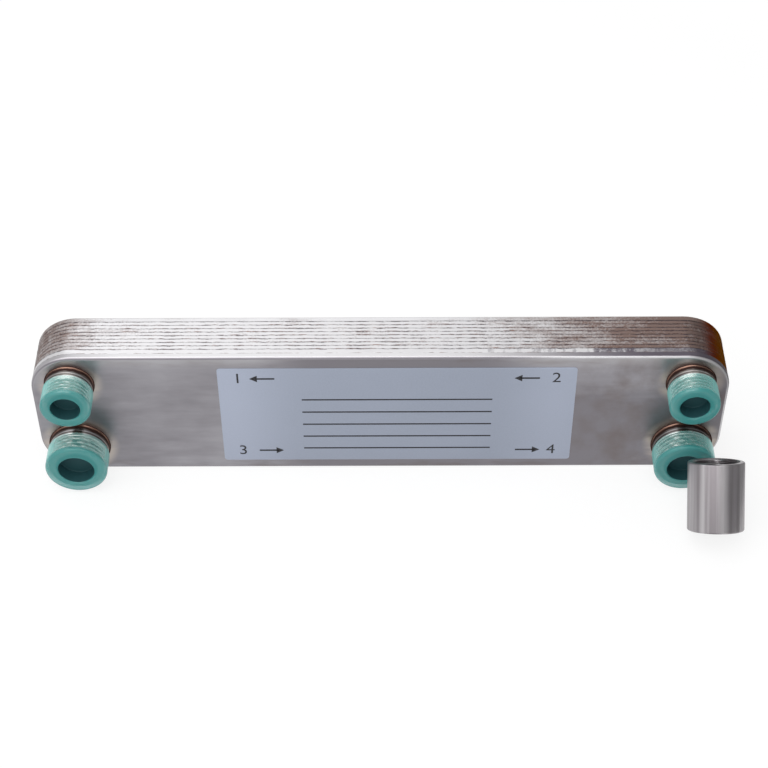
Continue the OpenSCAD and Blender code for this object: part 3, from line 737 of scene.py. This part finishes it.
class CHILLER_OT_ports(bpy.types.Operator):
    """Model the threaded ports and the copper fillets round their feet"""

    bl_idname = "chiller.ports"
    bl_label = "Ports and braze rings"

    def execute(self, context):
        s = sizes()
        steel, skin = turned_stainless(), bore_skin_and_shade()
        copper = bpy.data.materials.get(COPPER) or copper_braze()
        for name in PORT_NAMES:
            thread_r, bore_r, pitch, reach = port_sizes(name)
            taper = PIPE_TAPER if name.startswith("wort") else 0.0
            foot, start = FRONT_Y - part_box(f"{name}_port")[1].y, s.neck_len
            mouth = thread_r - (reach - start) * taper - s.port_chamfer
            edge = 0.4 * MM
            profile = [(bore_r, foot), (bore_r, reach - edge), (bore_r + edge, reach), (mouth, reach)]
            for i in range(1, PORT_ROWS + 1):
                z = reach - (reach - start) * i / PORT_ROWS
                crest = thread_r - (z - start) * taper
                profile.append((min(crest, mouth + reach - z), z))
            profile.append((thread_r, foot))
            bm = lathe(profile, {}, THREAD_STEPS, closed=True)
            deep = bm.verts.layers.float.new("root")
            for v in bm.verts:
                r, along = v.co.xy.length, v.co.z - start
                if along < 0.05 * MM or r < bore_r + 1.5 * MM:
                    continue
                v[deep] = thread_share(v.co, pitch) * min(1.0, along / pitch)
                root = thread_r - along * taper - s.thread_depth * v[deep]
                v.co.xy *= min(r, root) / r
            smooth_by_angle(bm, 40)
            for face in bm.faces:
                face.material_index = int(face.calc_center_median().xy.length < bore_r + 0.1 * MM)
            place = STAND @ Matrix.Translation(port_place(name))
            port = add_piece(f"{name}_threaded_port", bm, place, steel, f"{name}_port")
            port.data.materials.append(skin)

            # A collar up the neck, a bright hollow, and a darker roll round the outside; the collar and the
            # roll are darkened, partly oxide and partly painted shade where the fillet meets the neck and
            # the cover
            ring_r = ring_radius(name)
            wide = ring_r - thread_r
            snug, collar = thread_r + 0.02 * MM, thread_r + 0.05 * MM
            slope = ((0.3, 0.62), (0.52, 0.36), (0.62, 0.44), (0.82, 0.44), (0.99, 0.2))
            fillet = [
                (snug, 0.02 * MM), (snug, 2.2 * MM),
                (collar, 2.2 * MM), (collar, 1.9 * MM), (collar, 1.3 * MM),
                *((thread_r + out * wide, up * wide) for out, up in slope),
                (thread_r + 0.99 * wide, 0.02 * MM),
            ]
            bm = lathe(fillet, {}, RING_STEPS, closed=True)
            thin = bm.verts.layers.float.new("thin")
            bright_from, bright_to, lump = 0.2, 0.56, 2.5 * MM
            for v in bm.verts:
                spread = (v.co.xy.length - thread_r) / wide
                # Bare copper in the hollow; elsewhere the dark skin, partly painted shade against the neck
                # and the cover
                v[thin] = -0.3 if bright_from < spread < bright_to else 0.4
                v.co.z *= 1 + 0.2 * noise.noise(Vector((v.co.x, v.co.y, ring_r)) / lump)
            smooth_by_angle(bm, 70)
            add_piece(f"{name}_braze_fillet", bm, place, copper, f"{name}_braze_ring")
        return {"FINISHED"}


class CHILLER_OT_caps(bpy.types.Operator):
    """Model the translucent push-on caps"""

    bl_idname = "chiller.caps"
    bl_label = "Port caps"

    def execute(self, context):
        s = sizes()
        plastic = teal_polyethylene()
        for name in PORT_NAMES:
            thread_r, bore_r = port_sizes(name)[:2]
            low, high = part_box(f"{name}_cap")
            rim, end = FRONT_Y - high.y, FRONT_Y - low.y
            inner, outer = thread_r + s.cap_gap, (high.z - low.z) / 2
            plug = bore_r - s.cap_gap
            hollow = plug - s.plug_wall
            floor, seat = end - s.hollow_depth, end - s.cap_end_t
            profile = [
                (0, floor - s.cap_end_t), (plug, floor - s.cap_end_t), (plug, seat), (inner, seat),
                (inner, rim), (outer, rim), (outer, end - s.cap_round - 1 * MM), (outer, end),
                (hollow, end), (hollow, floor), (0, floor),
            ]
            rounds = {
                1: 0.5 * MM, 2: 0.3 * MM, 3: 0.3 * MM, 4: 0.25 * MM, 5: 0.4 * MM,
                7: s.cap_round, 8: 0.6 * MM, 9: 0.5 * MM,
            }
            bm = lathe(profile, rounds, CAP_STEPS, closed=False)
            part = bm.verts.layers.float.new("part")
            for v in bm.verts:
                r, z = v.co.xy.length, v.co.z
                if r < plug + NEAR and z < end - 0.5 * MM:
                    v[part] = 2
                else:
                    v[part] = float(z > end - s.cap_round - NEAR)
            smooth_by_angle(bm, 35)
            place = STAND @ Matrix.Translation(port_place(name))
            add_piece(f"{name}_plastic_cap", bm, place, plastic, f"{name}_cap", f"cap_{name}")
        return {"FINISHED"}


def add_bar(bm, x, y, width, height, thick):
    """A printed bar, from its middle and size in the label's own drawing."""
    made = bmesh.ops.create_cube(bm, size=1)["verts"]
    bmesh.ops.scale(bm, vec=(width, height, thick), verts=made)
    bmesh.ops.translate(bm, vec=(x, y, 0), verts=made)


def add_arrow(bm, x, y, run, size, thick):
    """A printed arrow; a negative run points to the left."""
    shaft, head_r = size * 0.26, size * 0.62
    add_bar(bm, x, y, abs(run), shaft, thick)
    head = bmesh.ops.create_cone(
        bm, cap_ends=True, segments=3, radius1=head_r, radius2=head_r, depth=thick
    )["verts"]
    side = math.copysign(1, run)
    bmesh.ops.rotate(bm, matrix=Matrix.Rotation(-side * math.pi / 2, 3, "Z"), verts=head)
    bmesh.ops.translate(bm, vec=(x + run / 2, y, 0), verts=head)


def add_digit(bm, digit, x, y, height, thick):
    """A printed digit."""
    curve = bpy.data.curves.new("digit", "FONT")
    curve.body = digit
    curve.align_x, curve.align_y = "CENTER", "CENTER"
    curve.size = height * FONT_PER_DIGIT
    curve.extrude = thick / 2
    text = bpy.data.objects.new("digit", curve)
    mesh = bpy.data.meshes.new_from_object(text)
    mesh.transform(Matrix.Translation((x, y, 0)))
    bm.from_mesh(mesh)
    bpy.data.objects.remove(text)
    bpy.data.curves.remove(curve)
    bpy.data.meshes.remove(mesh)


class CHILLER_OT_label(bpy.types.Operator):
    """Model the label film and its plain print"""

    bl_idname = "chiller.label"
    bl_label = "Label"

    def execute(self, context):
        s = sizes()
        width, height = LABEL_HIGH.x - LABEL_LOW.x, LABEL_HIGH.z - LABEL_LOW.z
        middle = Vector((LABEL_MID_X, (LABEL_LOW.z + LABEL_HIGH.z) / 2 - MID_Z, 0))
        top = FRONT_Y - LABEL_LOW.y
        bm = bmesh.new()
        bmesh.ops.create_grid(bm, x_segments=1, y_segments=1, size=0.5)
        bmesh.ops.scale(bm, vec=(width, height, 1), verts=bm.verts)
        round_corners(bm, bm.verts[:], s.label_r, 10)
        sheet = bmesh.ops.extrude_face_region(bm, geom=bm.faces[:])["geom"]
        lifted = [g for g in sheet if isinstance(g, bmesh.types.BMVert)]
        bmesh.ops.translate(bm, vec=(0, 0, top), verts=lifted)
        rim, rim_round = [g for g in sheet if isinstance(g, bmesh.types.BMEdge)], 0.06 * MM
        bmesh.ops.bevel(
            bm, geom=rim, offset=rim_round, offset_type="OFFSET", segments=2,
            profile=0.5, affect="EDGES", material=-1,
        )
        smooth_by_angle(bm, 40)
        place = STAND @ Matrix.Translation(middle)
        add_piece("label_film", bm, place, silver_label_film(), "label")

        # A digit and an arrow in each corner, and ruled lines in the middle
        bm = bmesh.new()
        digit_in, digit_down, digit_ht = 9 * MM, 6.5 * MM, 6.2 * MM
        arrow_off, arrow_run, arrow_ht = 12 * MM, 9 * MM, 3.8 * MM
        corners = {"1": (-1, 1), "2": (1, 1), "3": (-1, -1), "4": (1, -1)}
        for digit, (side, level) in corners.items():
            x, y = side * (width / 2 - digit_in), level * (height / 2 - digit_down)
            add_digit(bm, digit, x, y, digit_ht, s.ink_t)
            leaving = 1 if digit in "14" else -1
            add_arrow(bm, x - side * arrow_off, y, side * leaving * arrow_run, arrow_ht, s.ink_t)
        rules, rule_top, rule_gap = 5, 10 * MM, 8 * MM
        rule_len, rule_t = 86 * MM, 0.85 * MM
        for row in range(rules):
            add_bar(bm, 0, rule_top - row * rule_gap, rule_len, rule_t, s.ink_t)
        bmesh.ops.translate(bm, vec=(0, 0, top + s.ink_t / 2), verts=bm.verts)
        add_piece("label_print", bm, place, label_ink())
        return {"FINISHED"}


class CHILLER_OT_coupling(bpy.types.Operator):
    """Model the loose pipe coupling with its inside thread"""

    bl_idname = "chiller.coupling"
    bl_label = "Pipe coupling"

    def execute(self, context):
        s = sizes()
        low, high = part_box("pipe_coupling")
        r, lean, edge = s.coupling_r, s.coupling_lean, s.coupling_edge
        base = Vector((
            (low.x + high.x) / 2,
            low.y + r * math.cos(lean) - edge * math.sin(lean),
            r * math.sin(lean),
        ))
        place = Matrix.Translation(base) @ Matrix.Rotation(-lean, 4, "X")
        bore, mouth, tall = s.coupling_bore_r, s.coupling_mouth, s.coupling_len
        profile = [(r - edge, 0), (r, edge), (r, tall - edge), (r - edge, tall), (bore + mouth, tall)]
        for i in range(1, COUPLING_ROWS):
            down = tall * i / COUPLING_ROWS
            profile.append((bore + max(0, mouth - min(down, tall - down)), tall - down))
        profile.append((bore + mouth, 0))
        bm = lathe(profile, dict.fromkeys(range(4), edge / 2), THREAD_STEPS, closed=True)
        for v in bm.verts:
            radius = v.co.xy.length
            if radius > bore + mouth - NEAR:
                continue
            root = bore + s.thread_depth * thread_share(v.co, s.wort_pitch)
            v.co.xy *= max(radius, root) / radius
        smooth_by_angle(bm, 40)
        steel = brushed_304(place.inverted())
        add_piece("threaded_coupling", bm, place, steel, "pipe_coupling", "coupling")
        return {"FINISHED"}


def add_lamp(name, place, target, size, watts):
    """A square soft lamp that faces a point."""
    lamp = bpy.data.lights.new(name, "AREA")
    lamp.shape, lamp.size, lamp.energy = "SQUARE", size, watts
    holder = bpy.data.objects.new(name, lamp)
    holder.location = place
    holder.rotation_euler = (Vector(target) - Vector(place)).to_track_quat("-Z", "Y").to_euler()
    bpy.context.scene.collection.objects.link(holder)


def add_card(name, x, grey):
    """A grey card beside the object that only polished metal sees; it darkens the edges of round
    pieces, as cards beside a product do."""
    half = 0.15
    bm = bmesh.new()
    bmesh.ops.create_grid(bm, x_segments=1, y_segments=1, size=half)
    bmesh.ops.rotate(bm, matrix=Matrix.Rotation(math.pi / 2, 3, "Y"), verts=bm.verts)
    bmesh.ops.translate(bm, vec=(x, -0.05, half), verts=bm.verts)
    material = bpy.data.materials.new(name)
    node = empty_tree(material)
    node("OutputMaterial", {"Surface": node("BsdfDiffuse", {"Color": (grey, grey, grey, 1)})})
    card = add_object(name, bm, material)
    card.visible_camera = card.visible_diffuse = card.visible_shadow = False


def seen_directly(node):
    """1 for camera, glossy and transmitted rays, which see the white surround."""
    path = node("LightPath")
    mirror = node("Math", {
        0: path.outputs["Is Camera Ray"], 1: path.outputs["Is Glossy Ray"],
    }, operation="MAXIMUM")
    return node("Math", {0: mirror, 1: path.outputs["Is Transmission Ray"]}, operation="MAXIMUM")


class CHILLER_OT_stage(bpy.types.Operator):
    """Set the floor, the lamps, the surround and the camera"""

    bl_idname = "chiller.stage"
    bl_label = "Stage"

    def execute(self, context):
        scene = context.scene
        scene.view_settings.view_transform = "Standard"

        # A matt white floor: pure white to the eye, also far off where the lamps don't reach, with the
        # object's soft shadow left in it
        material, node, place = new_material("white_studio_floor")
        paper = node("BsdfDiffuse", {"Color": colours().floor})
        catch = node("BsdfDiffuse", {"Color": (0.22, 0.22, 0.22, 1)})
        distance = node("VectorMath", {0: place}, operation="LENGTH")
        lift = node("MapRange", {
            "Value": distance, "From Min": 0.4, "From Max": 1.6, "To Min": 0.82, "To Max": 1.0,
        })
        glow = node("Emission", {"Strength": lift})
        white = node("AddShader", {0: catch, 1: glow})
        surface = node("MixShader", {0: seen_directly(node), 1: paper, 2: white})
        node("OutputMaterial", {"Surface": surface})
        bm = bmesh.new()
        bmesh.ops.create_grid(bm, x_segments=4, y_segments=4, size=4)
        add_object("floor", bm, material)

        world = bpy.data.worlds.new("studio")
        node = empty_tree(world)
        level = node("MapRange", {"Value": seen_directly(node), "To Min": 0.45, "To Max": 1.0})
        sky = node("Background", {"Color": WHITE, "Strength": level})
        node("OutputWorld", {"Surface": sky})
        scene.world = world

        add_lamp("key", (-0.35, -0.5, 1.2), (0, 0, 0.03), size=1.6, watts=13)
        add_lamp("top", (-0.15, 0.55, 0.75), (-0.03, 0.01, 0.07), size=0.5, watts=0.5)
        add_card("right_card", x=0.2, grey=0.6)

        view = bpy.data.cameras.new("photo_view")
        camera = bpy.data.objects.new("photo_view", view)
        scene.collection.objects.link(camera)
        view.sensor_width = SENSOR_MM
        view.lens = SENSOR_MM * FOCAL_PX / PHOTO_PX
        view.clip_end = 20
        yaw, pitch, roll = (math.radians(a) for a in (YAW, PITCH, ROLL))
        ahead = Vector((math.sin(yaw) * math.cos(pitch), math.cos(yaw) * math.cos(pitch), -math.sin(pitch)))
        right = Vector((math.cos(yaw), -math.sin(yaw), 0))
        up = right.cross(ahead)
        across = right * math.cos(roll) + up * math.sin(roll)
        above = up * math.cos(roll) - right * math.sin(roll)
        turn = Matrix((across, above, -ahead)).transposed()
        camera.matrix_world = Matrix.Translation(CAMERA_PLACE) @ turn.to_4x4()
        scene.camera = camera
        return {"FINISHED"}


PIECES = (
    CHILLER_OT_plates, CHILLER_OT_seams, CHILLER_OT_ports, CHILLER_OT_caps, CHILLER_OT_label,
    CHILLER_OT_coupling, CHILLER_OT_stage,
)


class CHILLER_PT_sidebar(bpy.types.Panel):
    """Lists the chiller's pieces and their sizes"""

    bl_label = "Plate chiller"
    bl_space_type = "VIEW_3D"
    bl_region_type = "UI"
    bl_category = "Chiller"

    def draw(self, context):
        for piece in PIECES:
            self.layout.operator(piece.bl_idname)
        for group in (context.scene.chiller_sizes, context.scene.chiller_colours):
            column = self.layout.column(align=True)
            for name in group.__annotations__:
                column.prop(group, name)


CLASSES = (ChillerSizes, ChillerColours, *PIECES, CHILLER_PT_sidebar)


def register():
    for item in CLASSES:
        bpy.utils.register_class(item)
    bpy.types.Scene.chiller_sizes = bpy.props.PointerProperty(type=ChillerSizes)
    bpy.types.Scene.chiller_colours = bpy.props.PointerProperty(type=ChillerColours)


def unregister():
    del bpy.types.Scene.chiller_colours
    del bpy.types.Scene.chiller_sizes
    for item in reversed(CLASSES):
        bpy.utils.unregister_class(item)


def main():
    register()
    bpy.ops.chiller.plates()
    bpy.ops.chiller.seams()
    bpy.ops.chiller.ports()
    bpy.ops.chiller.caps()
    bpy.ops.chiller.label()
    bpy.ops.chiller.coupling()
    bpy.ops.chiller.stage()


if __name__ == "__main__":
    main()
